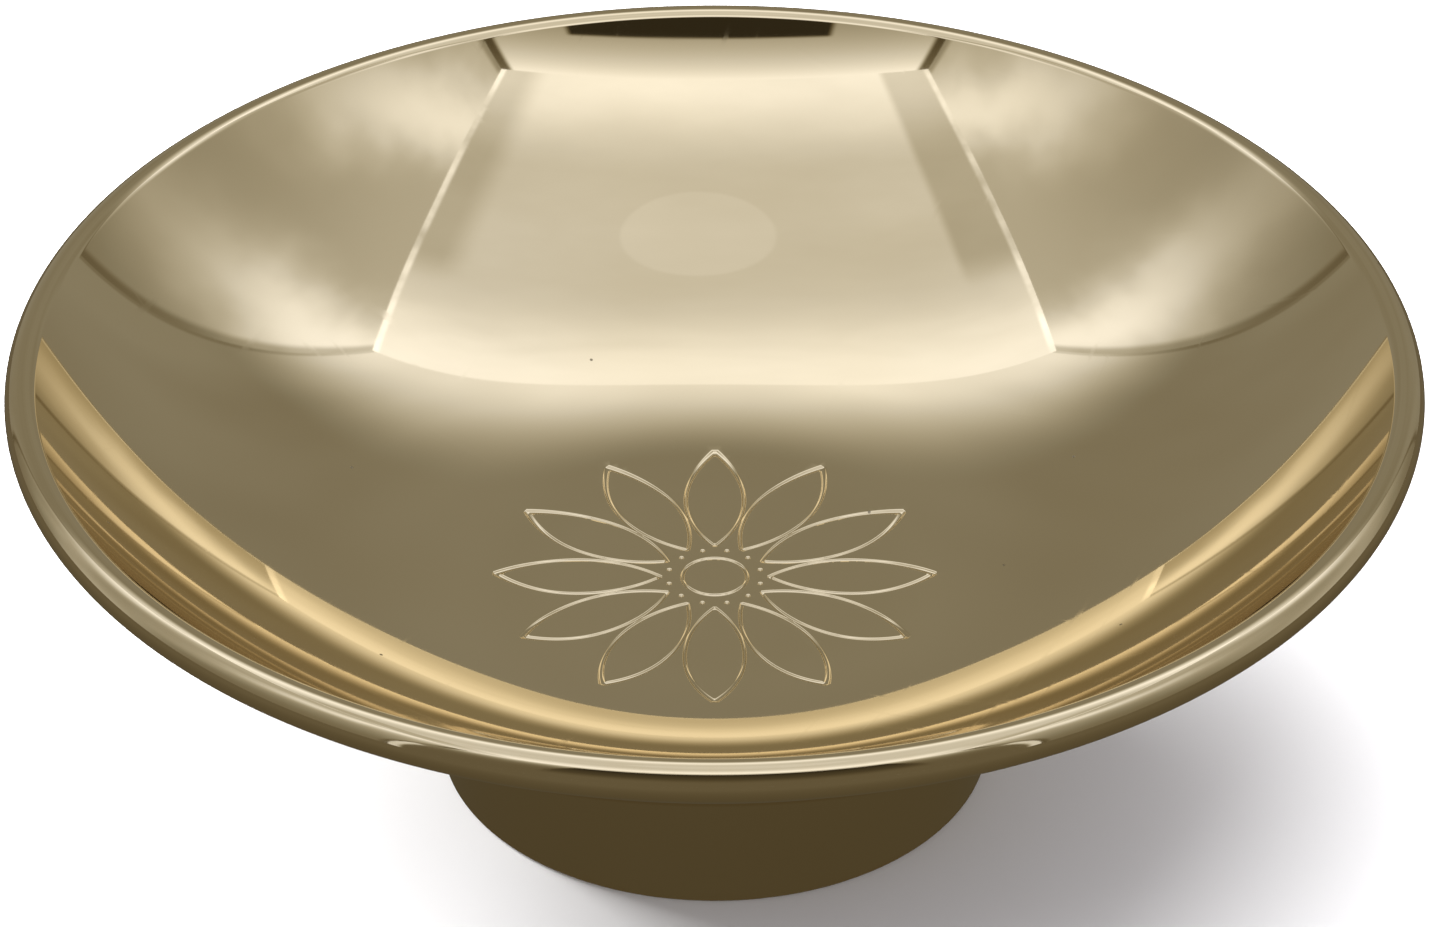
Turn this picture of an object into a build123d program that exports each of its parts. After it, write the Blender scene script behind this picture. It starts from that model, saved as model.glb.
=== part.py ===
# A footed sake cup in gold-plated brass: a shallow spun bowl with a rounded lip and an engraved
# flower on its flat floor, brazed to a short foot ring.
# Millimetres, +Z up. The origin is the middle of the circle that the foot stands on.
from build123d import *
import os
from math import cos, radians, sin, sqrt

# Bowl
rim_diameter = 90.0  # across the outside of the lip
overall_height = 30.0  # from the table to the top of the lip
floor_height = 12.9  # from the table to the flat floor inside
floor_radius = 9.9  # of the flat floor
floor_blend = 8.7  # how far the wall's curve reaches out level from the floor
rim_slope = 52.2  # of the wall where it meets the lip, in degrees
rim_blend = 16.7  # how far the wall's curve reaches down its slope from the lip
wall_thickness = 1.0
lip_top_radius = 0.95  # of the small curve over the top of the lip
lip_side_radius = 1.4  # of the broader curve round the outside of the lip
lip_turn = 16.0  # where one curve runs into the other, in degrees outwards from the top

# Foot
foot_diameter = 35.8  # outside, at the table
foot_flare = 0.2  # how much wider the foot's radius is at its top
foot_wall = 1.1
foot_edge_radius = 0.35  # of the two rounded edges that meet the table
seam_leg = 1.2  # of the brazed fillet, along the foot and along the bowl

# Engraved flower
petal_count = 12
petal_inner_radius = 3.5  # from the flower's middle to a petal's inner point
petal_outer_radius = 14.2  # to its outer point
petal_gap = 0.75  # left between two petals where they are widest
centre_ring_radius = 2.1
dot_circle_radius = 3.05  # of the punched dots round the centre ring
dot_diameter = 0.42
line_width = 0.32
line_depth = 0.12

rim_radius = rim_diameter / 2
foot_radius = foot_diameter / 2
up_wall = Vector(cos(radians(rim_slope)), 0, sin(radians(rim_slope)))
out_of_wall = Vector(sin(radians(rim_slope)), 0, -cos(radians(rim_slope)))
to_turn = Vector(sin(radians(lip_turn)), 0, cos(radians(lip_turn)))
side_centre_radius = rim_radius - lip_side_radius
top_centre_radius = side_centre_radius + (lip_side_radius - lip_top_radius) * to_turn.X
top_centre = Vector(top_centre_radius, 0, overall_height - lip_top_radius)
side_centre = top_centre - to_turn * (lip_side_radius - lip_top_radius)


def level(radius, height):
    return Vector(radius, 0, height)


def inside_curve():
    """The wall's inner face, from the flat floor to the lip."""
    lip_end = top_centre - out_of_wall * lip_top_radius
    return Bezier(
        level(floor_radius, floor_height),
        level(floor_radius + floor_blend, floor_height),
        lip_end - up_wall * rim_blend,
        lip_end,
    )


def underside_curve():
    """The wall's outer face, one wall thickness below the inner face."""
    height = floor_height - wall_thickness
    across_wall = top_centre + out_of_wall * (wall_thickness - lip_top_radius)
    from_side = across_wall - side_centre
    up_part = from_side.dot(up_wall)
    down_wall = up_part + sqrt(up_part**2 - from_side.dot(from_side) + lip_side_radius**2)
    lip_end = across_wall - up_wall * down_wall
    return Bezier(
        level(floor_radius, height),
        level(floor_radius + floor_blend, height),
        lip_end - up_wall * (rim_blend - down_wall),
        lip_end,
    )


def spin(*edges):
    """The solid that a closed outline in the XZ plane sweeps round the cup's axis."""
    return revolve(Face(Wire(list(edges))), axis=Axis.Z)


def filled_above(curve):
    """All the space above a wall curve and its flat floor, up to the height of the lip's top."""
    floor_edge = curve @ 0
    lip_end = curve @ 1
    return spin(
        Line(level(0, floor_edge.Z), floor_edge),
        curve,
        Line(lip_end, level(lip_end.X, overall_height)),
        Line(level(lip_end.X, overall_height), level(0, overall_height)),
        Line(level(0, overall_height), level(0, floor_edge.Z)),
    )


def make_blank(inside, underside):
    """The spun bowl before it is engraved."""
    over_top = level(top_centre.X, overall_height)
    widest = level(rim_radius, side_centre.Z)
    turn = top_centre + to_turn * lip_top_radius
    return spin(
        Line(level(0, (inside @ 0).Z), inside @ 0),
        inside,
        ThreePointArc(inside @ 1, over_top, turn),
        ThreePointArc(turn, widest, underside @ 1),
        underside,
        Line(underside @ 0, level(0, (underside @ 0).Z)),
        Line(level(0, (underside @ 0).Z), level(0, (inside @ 0).Z)),
    )


def petal():
    """One almond-shaped petal along +X, as a face."""
    middle = (petal_inner_radius + petal_outer_radius) / 2
    half_width = middle * sin(radians(180 / petal_count)) - petal_gap / 2
    inner_point = (petal_inner_radius, 0)
    outer_point = (petal_outer_radius, 0)
    near_side = ThreePointArc(inner_point, (middle, -half_width), outer_point)
    far_side = ThreePointArc(outer_point, (middle, half_width), inner_point)
    return make_face([near_side, far_side])


def outlined(face):
    """A line of the engraving's width along a face's edge."""
    return offset(face, line_width / 2) - offset(face, -line_width / 2)


def flower_lines():
    lines = outlined(Circle(centre_ring_radius))
    lines += PolarLocations(0, petal_count) * outlined(petal())
    between_petals = PolarLocations(dot_circle_radius, petal_count, start_angle=180 / petal_count)
    lines += between_petals * Circle(dot_diameter / 2)
    return lines


def engrave(blank, inside):
    """Cuts the flower's lines to the same depth on the flat floor and where the wall starts."""
    tools = extrude(Pos(0, 0, floor_height - wall_thickness) * flower_lines(), overall_height)
    tools &= Pos(0, 0, -line_depth) * filled_above(inside)
    return blank - tools


def height_of(curve, radius):
    """How high a wall curve is at a radius."""
    low = 0.0
    high = 1.0
    for _ in range(50):
        middle = (low + high) / 2
        if (curve @ middle).X < radius:
            low = middle
        else:
            high = middle
    return (curve @ low).Z


def foot_top_corner(underside):
    """Where the outside of the foot meets the underside of the bowl."""
    radius = foot_radius + foot_flare
    return level(radius, height_of(underside, radius))


def make_foot_ring(underside):
    """A slightly flared tube whose top is shaped to the underside of the bowl."""
    flare_per_height = foot_flare / foot_top_corner(underside).Z
    tall_radius = foot_radius + flare_per_height * overall_height
    tube = spin(
        Line(level(foot_radius, 0), level(tall_radius, overall_height)),
        Line(level(tall_radius, overall_height), level(tall_radius - foot_wall, overall_height)),
        Line(level(tall_radius - foot_wall, overall_height), level(foot_radius - foot_wall, 0)),
        Line(level(foot_radius - foot_wall, 0), level(foot_radius, 0)),
    )
    edges_on_table = tube.edges().group_by(Axis.Z)[0]
    return fillet(edges_on_table, foot_edge_radius) - filled_above(underside)


def make_braze_seam(underside, foot_ring):
    """A ring of filler metal with a hollow face, in the corner outside the foot."""
    corner = foot_top_corner(underside)
    bowl_radius = corner.X + seam_leg
    on_bowl = level(bowl_radius, height_of(underside, bowl_radius))
    on_foot = level(corner.X - foot_flare * seam_leg / corner.Z, corner.Z - seam_leg)
    hollow = (on_bowl + on_foot + corner) / 3
    in_bowl = on_bowl + level(0, wall_thickness / 2)
    in_foot = on_foot - level(foot_wall / 2, 0)
    above_foot = level(in_foot.X, in_bowl.Z)
    filler = spin(
        ThreePointArc(on_foot, hollow, on_bowl),
        Line(on_bowl, in_bowl),
        Line(in_bowl, above_foot),
        Line(above_foot, in_foot),
        Line(in_foot, on_foot),
    )
    return filler - filled_above(underside) - foot_ring


inside = inside_curve()
underside = underside_curve()
bowl = engrave(make_blank(inside, underside), inside)
foot_ring = make_foot_ring(underside)
braze_seam = make_braze_seam(underside, foot_ring)

os.makedirs("parts", exist_ok=True)
export_step(bowl, "parts/bowl.step")
export_step(foot_ring, "parts/foot_ring.step")
export_step(braze_seam, "parts/braze_seam.step")
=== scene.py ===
"""The looks of the footed sake cup: mirror-polished pale-gold plating, an engraved flower, and the white
light tent that the polish mirrors. Blender works in metres; the sizes below are in millimetres times MM."""

import math

import bpy
import mathutils
import numpy as np
from mathutils.geometry import delaunay_2d_cdt
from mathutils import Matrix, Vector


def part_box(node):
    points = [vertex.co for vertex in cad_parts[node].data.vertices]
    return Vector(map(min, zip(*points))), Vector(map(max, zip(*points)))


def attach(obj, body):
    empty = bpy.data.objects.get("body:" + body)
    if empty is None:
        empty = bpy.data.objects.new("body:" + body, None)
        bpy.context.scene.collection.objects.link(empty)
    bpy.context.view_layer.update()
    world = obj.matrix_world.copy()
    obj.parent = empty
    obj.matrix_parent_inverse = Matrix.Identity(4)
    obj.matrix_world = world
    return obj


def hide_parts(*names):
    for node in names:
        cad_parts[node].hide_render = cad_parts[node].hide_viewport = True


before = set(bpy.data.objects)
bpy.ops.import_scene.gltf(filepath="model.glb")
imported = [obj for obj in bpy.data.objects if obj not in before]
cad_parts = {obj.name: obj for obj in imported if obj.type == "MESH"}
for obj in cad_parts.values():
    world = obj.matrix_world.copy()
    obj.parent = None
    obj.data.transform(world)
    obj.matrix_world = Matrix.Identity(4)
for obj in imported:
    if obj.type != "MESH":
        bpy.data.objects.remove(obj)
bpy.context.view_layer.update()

MM = 0.001
bowl_low, bowl_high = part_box("bowl")
foot_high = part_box("foot_ring")[1]

# ---------------------------------------------------------------- the cup's profile, as in the CAD model
RIM_RADIUS = (bowl_high[0] - bowl_low[0]) / 2
TOP = bowl_high[2]
WALL = 1.0 * MM
FLOOR = bowl_low[2] + WALL
FLOOR_RADIUS = 9.9 * MM
FLOOR_BLEND = 8.7 * MM
RIM_SLOPE = math.radians(52.2)
RIM_BLEND = 16.7 * MM
LIP_TOP_RADIUS = 0.95 * MM
LIP_SIDE_RADIUS = 1.4 * MM
LIP_TURN = math.radians(16.0)
CREASE_RADIUS = 0.22 * MM  # of the soft hollow where the lip's bead meets the underside

# ---------------------------------------------------------------- the engraved flower
PETALS = 12
PETAL_INNER = 3.5 * MM
PETAL_OUTER = 14.2 * MM
PETAL_GAP = 0.75 * MM
RING_RADIUS = 2.1 * MM
DOT_CIRCLE = 3.05 * MM
DOT_RADIUS = 0.21 * MM
LINE_HALF = 0.16 * MM
LINE_DEPTH = 0.12 * MM
TIP_WIDENING = 0.8  # how much wider the graver's line gets towards a petal's outer point
ENGRAVED_RADIUS = 15.6 * MM  # of the finely meshed disc that holds the flower

SEGMENTS = 384
MIRROR_BOUNCES = 14  # enough for light that runs round the hollow bowl


# ---------------------------------------------------------------- profile curves
UP_WALL = np.array([math.cos(RIM_SLOPE), math.sin(RIM_SLOPE)])
OUT_OF_WALL = np.array([math.sin(RIM_SLOPE), -math.cos(RIM_SLOPE)])
TO_TURN = np.array([math.sin(LIP_TURN), math.cos(LIP_TURN)])
RADIUS_STEP = LIP_SIDE_RADIUS - LIP_TOP_RADIUS
TOP_CENTRE = np.array([RIM_RADIUS - LIP_SIDE_RADIUS + RADIUS_STEP * TO_TURN[0], TOP - LIP_TOP_RADIUS])
SIDE_OF_LIP = TOP_CENTRE - RADIUS_STEP * TO_TURN


def bezier(points, steps):
    """Points of a cubic curve in the plane of radius and height, and its direction at each."""
    t = np.linspace(0.0, 1.0, steps)[:, None]
    a, b, c, d = (np.array(p) for p in points)
    place = (1 - t) ** 3 * a + 3 * (1 - t) ** 2 * t * b + 3 * (1 - t) * t * t * c + t**3 * d
    along = (1 - t) ** 2 * (b - a) + 2 * (1 - t) * t * (c - b) + t * t * (d - c)
    return place, along / np.linalg.norm(along, axis=1)[:, None]


def inside_wall(steps):
    """From the flat floor's edge to where the wall runs into the lip."""
    lip_end = TOP_CENTRE - OUT_OF_WALL * LIP_TOP_RADIUS
    return bezier(
        [
            (FLOOR_RADIUS, FLOOR),
            (FLOOR_RADIUS + FLOOR_BLEND, FLOOR),
            lip_end - UP_WALL * RIM_BLEND,
            lip_end,
        ],
        steps,
    )


ACROSS_WALL = TOP_CENTRE + OUT_OF_WALL * (WALL - LIP_TOP_RADIUS)
OFF_SIDE = (ACROSS_WALL - SIDE_OF_LIP) @ OUT_OF_WALL
UP_SIDE = (ACROSS_WALL - SIDE_OF_LIP) @ UP_WALL
DOWN_WALL = UP_SIDE + math.sqrt(LIP_SIDE_RADIUS**2 - OFF_SIDE**2)


def underside_wall(steps):
    """From the flat underside's edge to the crease below the lip."""
    lip_end = ACROSS_WALL - UP_WALL * DOWN_WALL
    return bezier(
        [
            (FLOOR_RADIUS, FLOOR - WALL),
            (FLOOR_RADIUS + FLOOR_BLEND, FLOOR - WALL),
            lip_end - UP_WALL * (RIM_BLEND - DOWN_WALL),
            lip_end,
        ],
        steps,
    )


WALL_PLACES, WALL_DIRECTIONS = inside_wall(2000)


def wall_height(radius):
    """Height of the inside face, before engraving, at each radius."""
    climbing = np.interp(radius, WALL_PLACES[:, 0], WALL_PLACES[:, 1])
    return np.where(radius < FLOOR_RADIUS, FLOOR, climbing)


# ---------------------------------------------------------------- depth of the flower's lines
PETAL_MIDDLE = (PETAL_INNER + PETAL_OUTER) / 2
PETAL_HALF_WIDTH = PETAL_MIDDLE * math.sin(math.pi / PETALS) - PETAL_GAP / 2
HALF_CHORD = (PETAL_OUTER - PETAL_INNER) / 2
SIDE_RADIUS = (HALF_CHORD**2 + PETAL_HALF_WIDTH**2) / (2 * PETAL_HALF_WIDTH)
SIDE_CENTRE = np.array([PETAL_MIDDLE, PETAL_HALF_WIDTH - SIDE_RADIUS])
SIDE_HALF_ANGLE = math.asin(HALF_CHORD / SIDE_RADIUS)


def petal_line_half(swing):
    """Half the width of a petal's line, which swells towards the outer point."""
    near_tip = np.clip(np.sin(swing) / math.sin(SIDE_HALF_ANGLE), 0, 1)
    return LINE_HALF * (1 + TIP_WIDENING * near_tip**2)


def groove(distance, half_width):
    """A rounded V: full depth in the middle, and level with the floor from half_width on."""
    inside = np.clip(1 - (distance / half_width) ** 2, 0, None)
    return LINE_DEPTH * inside**1.6


def engraving_depth(x, y):
    """How deep the flower's lines are cut at each point of the floor."""
    radius = np.hypot(x, y)
    pitch = 2 * math.pi / PETALS
    angle = np.arctan2(y, x)
    turned = np.abs(angle - pitch * np.round(angle / pitch))
    px = radius * np.cos(turned)
    py = radius * np.sin(turned)
    to_side = np.abs(np.hypot(px - SIDE_CENTRE[0], py - SIDE_CENTRE[1]) - SIDE_RADIUS)
    swing = np.arctan2(px - SIDE_CENTRE[0], py - SIDE_CENTRE[1])
    to_tip = np.minimum(np.hypot(px - PETAL_OUTER, py), np.hypot(px - PETAL_INNER, py))
    to_petal = np.where(np.abs(swing) < SIDE_HALF_ANGLE, to_side, to_tip)
    depth = groove(to_petal, petal_line_half(swing))
    depth = np.maximum(depth, groove(np.abs(radius - RING_RADIUS), LINE_HALF))
    dot_angle = pitch * (np.floor(angle / pitch) + 0.5)
    to_dot = np.hypot(x - DOT_CIRCLE * np.cos(dot_angle), y - DOT_CIRCLE * np.sin(dot_angle))
    return np.maximum(depth, groove(to_dot, DOT_RADIUS))


def engraved_height(x, y):
    return wall_height(np.hypot(x, y)) - engraving_depth(x, y)


def engraved_normal(x, y):
    """The true surface normal, from the slope of engraved_height."""
    step = 0.004 * MM
    dx = (engraved_height(x + step, y) - engraved_height(x - step, y)) / (2 * step)
    dy = (engraved_height(x, y + step) - engraved_height(x, y - step)) / (2 * step)
    normal = np.stack([-dx, -dy, np.ones_like(dx)], axis=1)
    return normal / np.linalg.norm(normal, axis=1)[:, None]


# ---------------------------------------------------------------- mesh of the engraved disc
def line_loops():
    """Closed loops that follow each engraved line: its middle, its edges and between them."""
    loops = []
    across = np.array([-1.0, -0.66, -0.33, 0.0, 0.33, 0.66, 1.0])
    for offset in across * LINE_HALF:
        turns = np.linspace(0, 2 * math.pi, 72, endpoint=False)
        loops.append((RING_RADIUS + offset) * np.stack([np.cos(turns), np.sin(turns)], axis=1))
    for petal in range(PETALS):
        turn = 2 * math.pi * petal / PETALS
        spin = np.array([[math.cos(turn), math.sin(turn)], [-math.sin(turn), math.cos(turn)]])
        for share in across:
            loops.append(petal_loop(share) @ spin)
        dot_turn = turn + math.pi / PETALS
        middle = DOT_CIRCLE * np.array([math.cos(dot_turn), math.sin(dot_turn)])
        for radius in (DOT_RADIUS, 0.66 * DOT_RADIUS, 0.33 * DOT_RADIUS):
            turns = np.linspace(0, 2 * math.pi, 12, endpoint=False)
            loops.append(middle + radius * np.stack([np.cos(turns), np.sin(turns)], axis=1))
    return loops


def petal_loop(share):
    """The outline of the petal on +X, moved outwards by a share of the line's half width."""
    swings = np.linspace(-SIDE_HALF_ANGLE, SIDE_HALF_ANGLE, 44)
    reach = SIDE_RADIUS + share * petal_line_half(swings)
    side = np.stack(
        [SIDE_CENTRE[0] + reach * np.sin(swings), SIDE_CENTRE[1] + reach * np.cos(swings)], axis=1
    )
    side = side[side[:, 1] > 0.01 * MM]
    return np.concatenate([side, side[::-1] * [1, -1]])


def engraved_disc():
    """Points and triangles of the disc inside ENGRAVED_RADIUS; its rim is SEGMENTS even points."""
    points = []
    edges = []

    def add_loop(loop):
        start = len(points)
        points.extend(map(tuple, loop))
        count = len(loop)
        edges.extend((start + i, start + (i + 1) % count) for i in range(count))

    turns = np.linspace(0, 2 * math.pi, SEGMENTS, endpoint=False)
    add_loop(ENGRAVED_RADIUS * np.stack([np.cos(turns), np.sin(turns)], axis=1))
    for loop in line_loops():
        add_loop(loop)
    for radius in np.arange(0.45 * MM, ENGRAVED_RADIUS - 0.25 * MM, 0.48 * MM):
        count = max(6, int(2 * math.pi * radius / (0.55 * MM)))
        turns = np.linspace(0, 2 * math.pi, count, endpoint=False) + radius / MM
        ring = radius * np.stack([np.cos(turns), np.sin(turns)], axis=1)
        clear = engraving_depth(ring[:, 0], ring[:, 1]) <= 0
        points.extend(map(tuple, ring[clear]))
    made = delaunay_2d_cdt([mathutils.Vector(p) for p in points], edges, [], 0, 0.008 * MM)
    places = np.array([tuple(v) for v in made[0]])
    triangles = [tuple(f) for f in made[2]]
    rim = [0] * SEGMENTS
    for vertex, sources in enumerate(made[3]):
        for source in sources:
            if source < SEGMENTS:
                rim[source] = vertex
    return places, triangles, rim


# ---------------------------------------------------------------- outlines of turned pieces
def left_of(directions):
    """Unit normals on the left of each direction in the plane of radius and height."""
    return np.stack([-directions[:, 1], directions[:, 0]], axis=1)


def arc(centre, radius, first, last, steps):
    """A run of an outline round a centre; it turns clockwise if last is less than first."""
    angles = np.linspace(first, last, steps)
    outward = np.stack([np.cos(angles), np.sin(angles)], axis=1)
    sign = 1 if last < first else -1
    return np.asarray(centre) + radius * outward, sign * outward


def straight(first, last, steps=2):
    """A straight run of an outline."""
    first, last = np.asarray(first), np.asarray(last)
    share = np.linspace(0, 1, steps)[:, None]
    direction = (last - first) / np.linalg.norm(last - first)
    places = first + share * (last - first)
    return places, left_of(np.repeat(direction[None], steps, axis=0))


def backwards(run):
    """The same run from its other end, with its normals kept on the other side."""
    return run[0][::-1], -run[1][::-1]


def angle_of(vector):
    return math.atan2(vector[1], vector[0])


def turn_outline(runs, closed=False, first_ring=None, next_vertex=0):
    """Turns an outline of runs round Z, the metal on its right. Returns points, faces and each face
    corner's normal. first_ring holds the vertex numbers of a ring that is already there."""
    turns = np.linspace(0, 2 * math.pi, SEGMENTS, endpoint=False)
    around = np.stack([np.cos(turns), np.sin(turns)], axis=1)

    def spread(flat):
        return np.concatenate([flat[0] * around, np.full((SEGMENTS, 1), flat[1])], axis=1)

    points, faces, corner_normals = [], [], []
    here = np.arange(SEGMENTS)
    there = np.roll(here, -1)

    def add_ring(place):
        start = next_vertex + len(points) * SEGMENTS
        points.append(spread(place))
        return start + here

    ring = add_ring(runs[0][0][0]) if first_ring is None else np.asarray(first_ring)
    begin = ring
    for number, (places, normals) in enumerate(runs):
        for i in range(1, len(places)):
            comes_round = closed and number == len(runs) - 1 and i == len(places) - 1
            following = begin if comes_round else add_ring(places[i])
            faces.append(np.stack([ring, following, following[there], ring[there]], axis=1))
            near, far = spread(normals[i - 1]), spread(normals[i])
            corner_normals.append(np.stack([near, far, far[there], near[there]], axis=1))
            ring = following
    return np.concatenate(points), np.concatenate(faces), np.concatenate(corner_normals), ring


def make_piece(name, points, faces, corner_normals, material):
    """A smooth mesh object whose shading follows the true surface."""
    mesh = bpy.data.meshes.new(name)
    mesh.from_pydata([tuple(p) for p in points], [], [tuple(int(v) for v in f) for f in faces])
    mesh.polygons.foreach_set("use_smooth", [True] * len(mesh.polygons))
    mesh.normals_split_custom_set([tuple(n) for n in corner_normals])
    mesh.materials.append(material)
    mesh.update()
    piece = bpy.data.objects.new(name, mesh)
    bpy.context.scene.collection.objects.link(piece)
    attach(piece, "root")
    return piece


# ---------------------------------------------------------------- bowl
def even_steps(run, steps):
    """A run resampled to even spacing."""
    places, normals = run
    lengths = np.concatenate([[0], np.cumsum(np.linalg.norm(np.diff(places, axis=0), axis=1))])
    wanted = np.linspace(0, lengths[-1], steps)
    pick = [np.stack([np.interp(wanted, lengths, a[:, k]) for k in (0, 1)], axis=1) for a in run]
    return pick[0], pick[1] / np.linalg.norm(pick[1], axis=1)[:, None]


def bowl_outline():
    """From the engraved disc's rim up the wall, over the lip and back under to the axis."""
    above_disc = WALL_PLACES[:, 0] > ENGRAVED_RADIUS
    start = np.array([[ENGRAVED_RADIUS, float(wall_height(ENGRAVED_RADIUS))]])
    places = np.concatenate([start, WALL_PLACES[above_disc]])
    normals = left_of(WALL_DIRECTIONS)[above_disc]
    wall = even_steps((places, np.concatenate([normals[:1], normals])), 90)

    out = OFF_SIDE + CREASE_RADIUS
    below = math.sqrt((LIP_SIDE_RADIUS + CREASE_RADIUS) ** 2 - out**2)
    crease_centre = SIDE_OF_LIP + out * OUT_OF_WALL - below * UP_WALL
    to_crease = angle_of(crease_centre - SIDE_OF_LIP)
    lip_top = arc(TOP_CENTRE, LIP_TOP_RADIUS, angle_of(-OUT_OF_WALL), angle_of(TO_TURN), 26)
    lip_side = arc(SIDE_OF_LIP, LIP_SIDE_RADIUS, angle_of(TO_TURN), to_crease, 36)
    last = angle_of(-OUT_OF_WALL)
    crease = arc(crease_centre, CREASE_RADIUS, to_crease + math.pi, last, 10)

    under_places, under_directions = underside_wall(2000)
    left_over = np.linalg.norm(under_places - crease[0][-1], axis=1)
    end = int(np.argmin(left_over))
    under = backwards((under_places[:end], left_of(under_directions)[:end]))
    under = even_steps(
        (np.concatenate([crease[0][-1:], under[0]]), np.concatenate([crease[1][-1:], under[1]])), 90
    )
    under_edge = (FLOOR_RADIUS, FLOOR - WALL)
    flat = straight(under_edge, (0.3 * MM, FLOOR - WALL), 16)
    return [wall, lip_top, lip_side, crease, under, flat]


def make_bowl(material):
    places, triangles, rim = engraved_disc()
    x, y = places[:, 0], places[:, 1]
    disc_points = np.stack([x, y, engraved_height(x, y)], axis=1)
    disc_normals = engraved_normal(x, y)
    points, faces, corner_normals, last_ring = turn_outline(
        bowl_outline(), first_ring=rim, next_vertex=len(places)
    )
    all_points = np.concatenate([disc_points, points, [[0, 0, FLOOR - WALL]]])
    middle = len(all_points) - 1
    there = np.roll(last_ring, -1)
    fan = [(int(a), middle, int(b)) for a, b in zip(last_ring, there)]
    all_faces = triangles + [tuple(f) for f in faces] + fan
    normals = np.concatenate(
        [
            disc_normals[np.array(triangles).ravel()],
            corner_normals.reshape(-1, 3),
            np.repeat([[0.0, 0.0, -1.0]], 3 * len(fan), axis=0),
        ]
    )
    piece = make_piece("polished_bowl", all_points, all_faces, normals, material)
    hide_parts("bowl")


# ---------------------------------------------------------------- foot ring and braze seam
FOOT_FLARE = 0.2 * MM
FOOT_WALL = 1.1 * MM
FOOT_EDGE = 0.35 * MM
SEAM_LEG = 1.2 * MM
FOOT_TOP_RADIUS = foot_high[0]
FOOT_RADIUS = FOOT_TOP_RADIUS - FOOT_FLARE
UNDER_PLACES = underside_wall(2000)[0]


def under_bowl(radius):
    """The point of the bowl's underside at a radius."""
    height = float(np.interp(radius, UNDER_PLACES[:, 0], UNDER_PLACES[:, 1]))
    return np.array([radius, height])


def make_foot(material):
    outside_top = under_bowl(FOOT_TOP_RADIUS)
    inside_top = under_bowl(FOOT_TOP_RADIUS - FOOT_WALL)
    lean = math.atan2(FOOT_FLARE, outside_top[1])
    outer_edge = arc((FOOT_RADIUS - FOOT_EDGE, FOOT_EDGE), FOOT_EDGE, -lean, -math.pi / 2, 10)
    inner_centre = (FOOT_RADIUS - FOOT_WALL + FOOT_EDGE, FOOT_EDGE)
    inner_edge = arc(inner_centre, FOOT_EDGE, -math.pi / 2, -math.pi - lean, 10)
    outline = [
        straight(outside_top, outer_edge[0][0], 14),
        outer_edge,
        straight(outer_edge[0][-1], inner_edge[0][0]),
        inner_edge,
        straight(inner_edge[0][-1], inside_top, 14),
        straight(inside_top, outside_top),
    ]
    points, faces, corner_normals, _ = turn_outline(outline, closed=True)
    piece = make_piece("polished_foot", points, faces, corner_normals.reshape(-1, 3), material)
    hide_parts("foot_ring")


def circle_through(a, b, c):
    """Centre and radius of the circle through three points."""
    matrix = 2 * np.array([b - a, c - a])
    centre = np.linalg.solve(matrix, [b @ b - a @ a, c @ c - a @ a])
    return centre, np.linalg.norm(a - centre)


def make_seam(material):
    corner = under_bowl(FOOT_TOP_RADIUS)
    on_bowl = under_bowl(FOOT_TOP_RADIUS + SEAM_LEG)
    on_foot = corner - np.array([FOOT_FLARE * SEAM_LEG / corner[1], SEAM_LEG])
    centre, radius = circle_through(on_bowl, (on_bowl + on_foot + corner) / 3, on_foot)
    first = angle_of(on_bowl - centre)
    last = angle_of(on_foot - centre) % (2 * math.pi)
    outline = [
        straight(on_foot, corner),
        straight(corner, on_bowl),
        arc(centre, radius, first, last, 12),
    ]
    points, faces, corner_normals, _ = turn_outline(outline, closed=True)
    piece = make_piece("polished_seam", points, faces, corner_normals.reshape(-1, 3), material)
    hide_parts("braze_seam")


# ---------------------------------------------------------------- node graphs
class Graph:
    """Short calls for building a node tree."""

    def __init__(self, tree):
        self.tree = tree
        self.tree.nodes.clear()

    def add(self, kind, inputs=None, **settings):
        node = self.tree.nodes.new(kind)
        for name, value in settings.items():
            setattr(node, name, value)
        for name, value in (inputs or {}).items():
            self.give(node.inputs[name], value)
        return node

    def give(self, socket, value):
        if isinstance(value, bpy.types.NodeSocket):
            self.tree.links.new(value, socket)
        else:
            socket.default_value = value

    def math(self, operation, first, second=None):
        inputs = {0: first} if second is None else {0: first, 1: second}
        return self.add("ShaderNodeMath", inputs, operation=operation).outputs[0]

    def rescale(self, value, low, high, to_low=0.0, to_high=1.0, smooth=False):
        node = self.add(
            "ShaderNodeMapRange",
            {"Value": value, "From Min": low, "From Max": high, "To Min": to_low, "To Max": to_high},
            interpolation_type="SMOOTHSTEP" if smooth else "LINEAR",
        )
        return node.outputs["Result"]

    def place(self):
        """X, Y and Z on the object, in metres."""
        place = self.add("ShaderNodeTexCoord").outputs["Object"]
        return self.add("ShaderNodeSeparateXYZ", {0: place}).outputs, place

    def mix(self, share, first, second):
        inputs = {0: share, 6: first, 7: second}
        return self.add("ShaderNodeMix", inputs, data_type="RGBA").outputs[2]

    def bump(self, height, distance, normal=None):
        """A bump that stands distance high; a negative distance presses in."""
        inputs = {"Height": height, "Distance": abs(distance), "Strength": 1.0}
        if normal is not None:
            inputs["Normal"] = normal
        return self.add("ShaderNodeBump", inputs, invert=distance < 0).outputs["Normal"]

    def noise(self, vector, scale, detail=2.0, roughness=0.5, distortion=0.0):
        inputs = {"Vector": vector, "Scale": scale, "Detail": detail, "Roughness": roughness,
                  "Distortion": distortion}
        return self.add("ShaderNodeTexNoise", inputs).outputs["Fac"]


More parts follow.
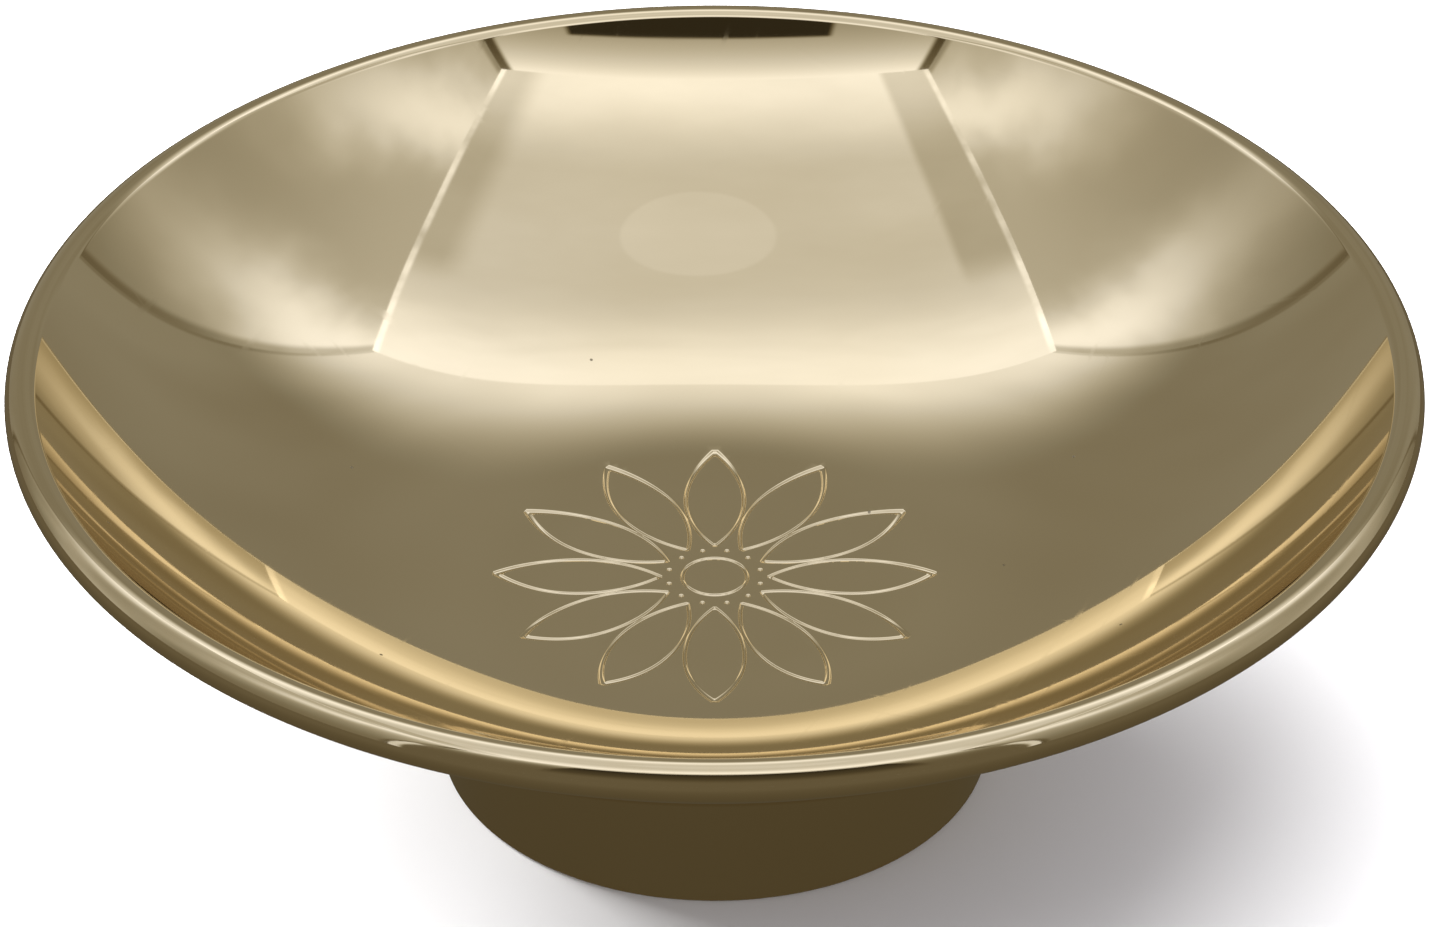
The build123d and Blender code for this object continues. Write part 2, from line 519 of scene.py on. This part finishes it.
def stretched(graph, place, scale):
    node = graph.add("ShaderNodeMapping", {"Vector": place, "Scale": scale})
    return node.outputs["Vector"]


# ---------------------------------------------------------------- gold plating
PALE_GOLD = (0.885, 0.757, 0.512, 1)
WARM_GOLD = (0.868, 0.732, 0.474, 1)
RUBBED_GOLD = (0.84, 0.68, 0.42, 1)
DUST = (0.2, 0.17, 0.12, 1)


def polar(graph, axes, place):
    """Distance from the cup's axis, and the angle round it."""
    flat = graph.add("ShaderNodeVectorMath", {0: place, 1: (1, 1, 0)}, operation="MULTIPLY")
    radius = graph.add("ShaderNodeVectorMath", {0: flat.outputs[0]}, operation="LENGTH")
    return radius.outputs["Value"], graph.math("ARCTAN2", axes[1], axes[0])


def hairlines(graph, place):
    """Sparse long fine scratches in two directions."""
    lines = 0.0
    for turn, offset in ((0.5, 0.0), (-1.1, 0.4)):
        turned = graph.add(
            "ShaderNodeVectorRotate", {"Vector": place, "Angle": turn}, rotation_type="Z_AXIS"
        )
        shift = {0: turned.outputs[0], 1: (offset, offset, 0)}
        moved = graph.add("ShaderNodeVectorMath", shift, operation="ADD")
        long = graph.noise(stretched(graph, moved.outputs[0], (16, 1500, 300)), 1.0, detail=1)
        lines = graph.math("MAXIMUM", lines, graph.rescale(long, 0.68, 0.74, smooth=True))
    return lines


def dust_specks(graph, place):
    """A few specks on surfaces seen from above."""
    cells = graph.add("ShaderNodeTexVoronoi", {"Vector": place, "Scale": 85.0}, voronoi_dimensions="2D")
    picked = graph.math("GREATER_THAN", cells.outputs["Color"], 0.66)
    spot = graph.rescale(cells.outputs["Distance"], 0.006, 0.011, 1.0, 0.0)
    return graph.math("MULTIPLY", picked, spot)


def gold_plating(name, rubbed):
    """Polished plating: colour drift, smudges, polishing rings, hairlines and specks.
    rubbed(graph, radius, height) is 1 where handling has dulled it."""
    material = bpy.data.materials.new(name)
    material.use_nodes = True
    graph = Graph(material.node_tree)
    axes, place = graph.place()
    radius, angle = polar(graph, axes, place)

    drift = graph.rescale(graph.noise(place, 38, detail=3), 0.3, 0.7)
    colour = graph.mix(drift, PALE_GOLD, WARM_GOLD)
    patchy = graph.rescale(graph.noise(place, 900, detail=3), 0.35, 0.65)
    worn = graph.math("MULTIPLY", rubbed(graph, radius, axes[2]), patchy)
    colour = graph.mix(graph.math("MULTIPLY", worn, 0.45), colour, RUBBED_GOLD)
    specks = dust_specks(graph, place)
    colour = graph.mix(graph.math("MULTIPLY", specks, 0.7), colour, DUST)

    smudge = graph.rescale(graph.noise(place, 70, detail=4, roughness=0.6), 0.35, 0.8, 0.02, 0.045)
    lines = hairlines(graph, place)
    roughness = graph.math("ADD", smudge, graph.math("MULTIPLY", lines, 0.03))
    roughness = graph.math("ADD", roughness, graph.math("MULTIPLY", worn, 0.09))
    roughness = graph.math("ADD", roughness, graph.math("MULTIPLY", specks, 0.4))

    small_angle = graph.math("MULTIPLY", angle, 0.0004)
    round_axis = graph.add("ShaderNodeCombineXYZ", {0: radius, 1: small_angle, 2: axes[2]})
    rings = graph.noise(round_axis.outputs[0], 3200, detail=2)
    waves = graph.noise(place, 95, detail=1)
    bump = graph.bump(waves, 6e-6)
    bump = graph.bump(rings, 5e-8, bump)
    bump = graph.bump(lines, -1.2e-7, bump)
    shader = graph.add(
        "ShaderNodeBsdfPrincipled",
        {"Base Color": colour, "Metallic": 1.0, "Roughness": roughness, "Normal": bump},
    )
    output = graph.add("ShaderNodeOutputMaterial")
    graph.tree.links.new(shader.outputs[0], output.inputs["Surface"])
    return material


def rubbed_lip(graph, radius, height):
    near_top = graph.rescale(height, TOP - 1.6 * MM, TOP, smooth=True)
    outside = graph.rescale(radius, RIM_RADIUS - 1.4 * MM, RIM_RADIUS - 0.2 * MM, smooth=True)
    return graph.math("MULTIPLY", graph.math("MULTIPLY", near_top, outside), 0.7)


def rubbed_foot(graph, radius, height):
    return graph.rescale(height, 0.9 * MM, 0.1 * MM, smooth=True)


# ---------------------------------------------------------------- studio
TENT_HALF_WIDTH = 326 * MM
TENT_BACK = 278 * MM
TENT_FRONT = -316 * MM
TENT_TOP = 549 * MM
OPENING_LEFT = -143 * MM
OPENING_RIGHT = 184 * MM
TABLE_LIFT = -0.05 * MM
BRIGHTEST_TINT = 1.2
BRIGHTEST = 1.2  # the most light that the tints are spread over
LIGHT_TINTS = (
    (0.08, (1.0, 0.82, 0.5)),
    (0.22, (1.0, 0.95, 0.8)),
    (0.6, (1.0, 1.02, 1.1)),
    (1.0, (1.0, 1.04, 1.2)),
)

# How bright the tent's cloth looks, where 1 is full light
CEILING_MIDDLE = 0.68  # right over the cup
CEILING_DIM_REACH = 120 * MM  # of that dimmer middle towards the front, and half as far to the back
ENDS_BRIGHTER = 0.45  # added at the ceiling's front and back
CLOTH_LOW = 0.25  # of the back cloth, near the table
BACK_SHADE_TOP = 280 * MM  # where the back cloth starts to brighten
FRONT_LOW = 0.14  # of the front cloth, near the table
FRONT_FALL_OFF = 5.0  # how sharply the front cloth darkens below the ceiling
SIDE_LOW = 0.2
SIDE_HIGH = 0.5
STREAK_TOP = 693 * MM  # the height where each streak's place, below, is measured
STREAK_SWAY = 30 * MM
FRONT_STREAK = -258 * MM
FRONT_STREAK_LEAN = 0.4
BACK_STREAK = 318 * MM
BACK_STREAK_LEAN = 0.36
# Painted shade of the table that only the polish sees: dimmest under the cup, lighter away from it
TABLE_PAINTED_SHADE_UNDER_CUP = 0.08
TABLE_OPEN = 0.14
TABLE_SHADE_REACH = 130 * MM


def light_tint(graph, brightness):
    """Colour of the tent's light: cool where it is bright, warm in the dim corners."""
    share = graph.rescale(brightness, 0.0, BRIGHTEST)
    node = graph.add("ShaderNodeValToRGB", {"Fac": share})
    elements = node.color_ramp.elements
    elements[0].position, elements[1].position = LIGHT_TINTS[0][0], LIGHT_TINTS[-1][0]
    for at, _ in LIGHT_TINTS[1:-1]:
        elements.new(at)
    for element, (_, tint) in zip(elements, LIGHT_TINTS):
        element.color = tuple(part / BRIGHTEST_TINT for part in tint) + (1,)
    return node.outputs["Color"]


def glowing(name, brightness_of):
    """A material that shines by brightness_of(graph, axes, place)."""
    material = bpy.data.materials.new(name)
    material.use_nodes = True
    graph = Graph(material.node_tree)
    axes, place = graph.place()
    brightness = brightness_of(graph, axes, place)
    strength = graph.math("MULTIPLY", brightness, BRIGHTEST_TINT)
    shine = graph.add("ShaderNodeEmission", {"Color": light_tint(graph, brightness), "Strength": strength})
    output = graph.add("ShaderNodeOutputMaterial")
    graph.tree.links.new(shine.outputs[0], output.inputs["Surface"])
    return material


def panel(name, corners, material):
    """A flat panel of the light tent. Only the cup's polish sees it."""
    mesh = bpy.data.meshes.new(name)
    mesh.from_pydata(corners, [], [tuple(range(len(corners)))])
    mesh.materials.append(material)
    made = bpy.data.objects.new(name, mesh)
    bpy.context.scene.collection.objects.link(made)
    made.visible_camera = False
    made.visible_diffuse = False
    made.visible_shadow = False
    made.visible_transmission = False


def bump_of_light(graph, distance, width, amount):
    """A soft streak: amount where distance is 0, fading to nothing over width."""
    share = graph.math("DIVIDE", distance, width)
    square = graph.math("MULTIPLY", share, share)
    return graph.math("MULTIPLY", graph.math("EXPONENT", graph.math("MULTIPLY", square, -1.0)), amount)


def near_edge(graph, along, edge, width):
    """1 within about width of the edges at plus and minus edge, fading to 0."""
    inside = graph.math("SUBTRACT", edge, graph.math("ABSOLUTE", along))
    return graph.rescale(inside, width * 0.5, width, 1.0, 0.0, smooth=True)


def ceiling_brightness(graph, axes, place):
    ripple = graph.noise(stretched(graph, place, (5, 14, 5)), 1.0, detail=3, distortion=0.8)
    wave = graph.rescale(ripple, 0.3, 0.7, -14 * MM, 14 * MM)
    near_back = graph.rescale(axes[1], 120 * MM, 200 * MM, 0.0, 1.0, smooth=True)
    warped = graph.math("ADD", axes[1], graph.math("MULTIPLY", wave, near_back))
    to_front = graph.rescale(warped, -CEILING_DIM_REACH, TENT_FRONT, 0.0, ENDS_BRIGHTER, smooth=True)
    to_back = graph.rescale(warped, CEILING_DIM_REACH / 2, TENT_BACK, 0.0, ENDS_BRIGHTER, smooth=True)
    along = graph.math("ADD", graph.math("ADD", to_front, to_back), CEILING_MIDDLE)
    from_spot = graph.add("ShaderNodeVectorMath", {0: place, 1: (16 * MM, -22 * MM, TENT_TOP)},
                          operation="DISTANCE").outputs["Value"]
    spot = graph.rescale(from_spot, 72 * MM, 77 * MM, 0.055, 0.0, smooth=True)
    left_strip = graph.rescale(axes[0], -250 * MM, -234 * MM, 0.27, 0.0, smooth=True)
    right_strip = graph.rescale(axes[0], 235 * MM, 285 * MM, 0.0, 0.24, smooth=True)
    strips = graph.math("ADD", left_strip, right_strip)
    strips = graph.math("MULTIPLY", strips, graph.rescale(axes[1], 50 * MM, 120 * MM, 1.0, 0.0, smooth=True))
    clouds = graph.noise(stretched(graph, place, (5, 9, 5)), 1.0, detail=3)
    cloud = graph.rescale(clouds, 0.3, 0.7, 0.95, 1.04)
    lit = graph.math("MULTIPLY", graph.math("ADD", along, spot), graph.math("SUBTRACT", 1.0, strips))
    lit = graph.math("MULTIPLY", lit, cloud)
    pucker = graph.rescale(graph.noise(place, 16, detail=3), 0.3, 0.7, 0.1, 0.55)
    hem = graph.math("MULTIPLY", near_edge(graph, axes[0], TENT_HALF_WIDTH, 13 * MM), pucker)
    return graph.math("ADD", lit, hem)


def back_brightness(graph, axes, place):
    near_top = graph.rescale(axes[2], BACK_SHADE_TOP, TENT_TOP, 0.0, 1.0 - CLOTH_LOW, smooth=True)
    along = graph.math("ADD", near_top, CLOTH_LOW)
    uneven = graph.noise(stretched(graph, place, (6, 1, 3)), 1.0, detail=2)
    patches = graph.rescale(uneven, 0.3, 0.7, 0.9, 1.08)
    corner = graph.rescale(near_edge(graph, axes[0], TENT_HALF_WIDTH, 9 * MM), 0.0, 1.0, 1.0, 0.75)
    return graph.math("MULTIPLY", graph.math("MULTIPLY", along, patches), corner)


def front_brightness(graph, axes, place):
    """The front cloth, with the dark opening that the camera looks through."""
    x, z = axes[0], axes[2]
    climb = graph.rescale(z, 0.0, TENT_TOP)
    wall = graph.math("ADD", graph.math("POWER", climb, FRONT_FALL_OFF), FRONT_LOW)
    top = graph.rescale(z, 433 * MM, 441 * MM, 1.0, 0.0, smooth=True)
    foot = graph.rescale(z, 90 * MM, 240 * MM, 0.0, 1.0, smooth=True)
    left = graph.rescale(x, OPENING_LEFT - 6 * MM, OPENING_LEFT + 6 * MM, 0.0, 1.0, smooth=True)
    right = graph.rescale(x, OPENING_RIGHT - 6 * MM, OPENING_RIGHT + 6 * MM, 1.0, 0.0, smooth=True)
    opening = graph.math("MULTIPLY", graph.math("MULTIPLY", top, foot), graph.math("MULTIPLY", left, right))
    shut = graph.math("SUBTRACT", 1.0, opening)
    in_corner = near_edge(graph, x, TENT_HALF_WIDTH, 26 * MM)
    high = graph.rescale(z, 360 * MM, 440 * MM, 0.0, 0.85, smooth=True)
    fold = graph.math("SUBTRACT", 1.0, graph.math("MULTIPLY", in_corner, high))
    gleam = graph.math("MULTIPLY", in_corner, graph.rescale(z, 260 * MM, 330 * MM, 0.6, 0.0, smooth=True))
    lit = graph.math("MULTIPLY", graph.math("MULTIPLY", wall, shut), fold)
    lit = graph.math("ADD", lit, gleam)
    inside = graph.rescale(z, 240 * MM, 400 * MM, 0.07, 0.03)
    return graph.math("ADD", lit, graph.math("MULTIPLY", inside, opening))


def side_brightness(graph, axes, place):
    """A cloudy cloth with two light streaks that lean together towards the table."""
    y, z = axes[1], axes[2]
    fall = graph.math("SUBTRACT", STREAK_TOP, z)
    clouds = graph.noise(stretched(graph, place, (4, 6, 5)), 1.0, detail=3)
    cloud = graph.rescale(clouds, 0.3, 0.7, -STREAK_SWAY, STREAK_SWAY)
    swayed = graph.math("ADD", y, cloud)
    front_edge = graph.math("ADD", graph.math("MULTIPLY", fall, FRONT_STREAK_LEAN), FRONT_STREAK)
    back_edge = graph.math("SUBTRACT", BACK_STREAK, graph.math("MULTIPLY", fall, BACK_STREAK_LEAN))
    front_streak = bump_of_light(graph, graph.math("SUBTRACT", swayed, front_edge), 75 * MM, 0.5)
    back_streak = bump_of_light(graph, graph.math("SUBTRACT", swayed, back_edge), 72 * MM, 0.62)
    height = graph.rescale(z, 0.0, TENT_TOP, SIDE_LOW, SIDE_HIGH, smooth=True)
    lit = graph.rescale(z, 170 * MM, 430 * MM, 0.25, 1.0, smooth=True)
    streaks = graph.math("MULTIPLY", graph.math("ADD", front_streak, back_streak), lit)
    whole = graph.math("ADD", height, streaks)
    to_back = graph.rescale(y, TENT_BACK - 18 * MM, TENT_BACK - 6 * MM, 1.0, 0.6, smooth=True)
    to_front = graph.rescale(y, TENT_FRONT + 6 * MM, TENT_FRONT + 18 * MM, 0.6, 1.0, smooth=True)
    return graph.math("MULTIPLY", whole, graph.math("MULTIPLY", to_back, to_front))


def table_painted_shade(graph, axes, place):
    # Painted shadow: the glowing table sheet is darkest right under the cup and brightens outwards
    away = graph.add("ShaderNodeVectorMath", {0: place}, operation="LENGTH").outputs["Value"]
    return graph.rescale(away, 0.0, TABLE_SHADE_REACH, TABLE_PAINTED_SHADE_UNDER_CUP, TABLE_OPEN, smooth=True)


def make_tent():
    w, b, f, t = TENT_HALF_WIDTH, TENT_BACK, TENT_FRONT, TENT_TOP
    panel("tent_ceiling", [(-w, f, t), (w, f, t), (w, b, t), (-w, b, t)],
          glowing("tent_ceiling", ceiling_brightness))
    panel("tent_back", [(-w, b, 0), (w, b, 0), (w, b, t), (-w, b, t)],
          glowing("tent_back", back_brightness))
    panel("tent_front", [(-w, f, 0), (w, f, 0), (w, f, t), (-w, f, t)],
          glowing("tent_front", front_brightness))
    side = glowing("tent_side", side_brightness)
    for name, x in (("tent_left", -w), ("tent_right", w)):
        panel(name, [(x, f, 0), (x, b, 0), (x, b, t), (x, f, t)], side)
    # A glowing sheet just under the floor, seen only in the polish, carrying the painted shadow of the cup
    panel("painted_shade_table", [(-w, f, TABLE_LIFT), (w, f, TABLE_LIFT), (w, b, TABLE_LIFT), (-w, b, TABLE_LIFT)],
          glowing("painted_shade_table", table_painted_shade))


def make_floor():
    material = bpy.data.materials.new("pale_floor")
    material.use_nodes = True
    shader = material.node_tree.nodes["Principled BSDF"]
    shader.inputs["Base Color"].default_value = (0.86, 0.86, 0.86, 1)
    shader.inputs["Roughness"].default_value = 0.9
    reach = 3.0
    mesh = bpy.data.meshes.new("floor")
    mesh.from_pydata([(-reach, -reach, 0), (reach, -reach, 0), (reach, reach, 0), (-reach, reach, 0)],
                     [], [(0, 1, 2, 3)])
    mesh.materials.append(material)
    floor = bpy.data.objects.new("floor", mesh)
    bpy.context.scene.collection.objects.link(floor)
    floor.visible_glossy = False


def add_area(name, place, size, energy):
    """A large soft light that points at the cup and is not mirrored in it."""
    light = bpy.data.lights.new(name, "AREA")
    light.size = size
    light.energy = energy
    made = bpy.data.objects.new(name, light)
    made.location = place
    made.rotation_mode = "QUATERNION"
    made.rotation_quaternion = (-mathutils.Vector(place)).to_track_quat("-Z", "Y")
    made.visible_glossy = False
    made.visible_camera = False
    bpy.context.scene.collection.objects.link(made)


def make_lights():
    add_area("overhead", (-0.1, 0.05, TENT_TOP), 0.9, 9.0)
    add_area("upper_left", (-0.5, 0.35, 0.3), 0.25, 7.0)
    world = bpy.data.worlds.new("studio")
    world.use_nodes = True
    world.node_tree.nodes["Background"].inputs["Color"].default_value = (0.97, 0.95, 1.0, 1)
    world.node_tree.nodes["Background"].inputs["Strength"].default_value = 1.0
    bpy.context.scene.world = world


def make_camera():
    """The photograph's viewing angle, through a long lens."""
    elevation = math.radians(33.79)
    distance = 467.5 * MM
    target = mathutils.Vector((0.5 * MM, 0, 21.7 * MM))
    data = bpy.data.cameras.new("camera")
    data.sensor_width = 36
    data.lens = 181.8
    data.clip_start = 0.01
    camera = bpy.data.objects.new("camera", data)
    back = mathutils.Vector((0, -math.cos(elevation), math.sin(elevation)))
    camera.location = target + back * distance
    camera.rotation_mode = "QUATERNION"
    camera.rotation_quaternion = (-back).to_track_quat("-Z", "Y")
    bpy.context.scene.collection.objects.link(camera)
    bpy.context.scene.camera = camera


make_bowl(gold_plating("bowl_plating", rubbed_lip))
foot_plating = gold_plating("foot_plating", rubbed_foot)
make_foot(foot_plating)
make_seam(foot_plating)
make_tent()
make_floor()
make_lights()
make_camera()
bpy.context.scene.view_settings.view_transform = "Standard"
bpy.context.scene.cycles.max_bounces = MIRROR_BOUNCES
bpy.context.scene.cycles.glossy_bounces = MIRROR_BOUNCES
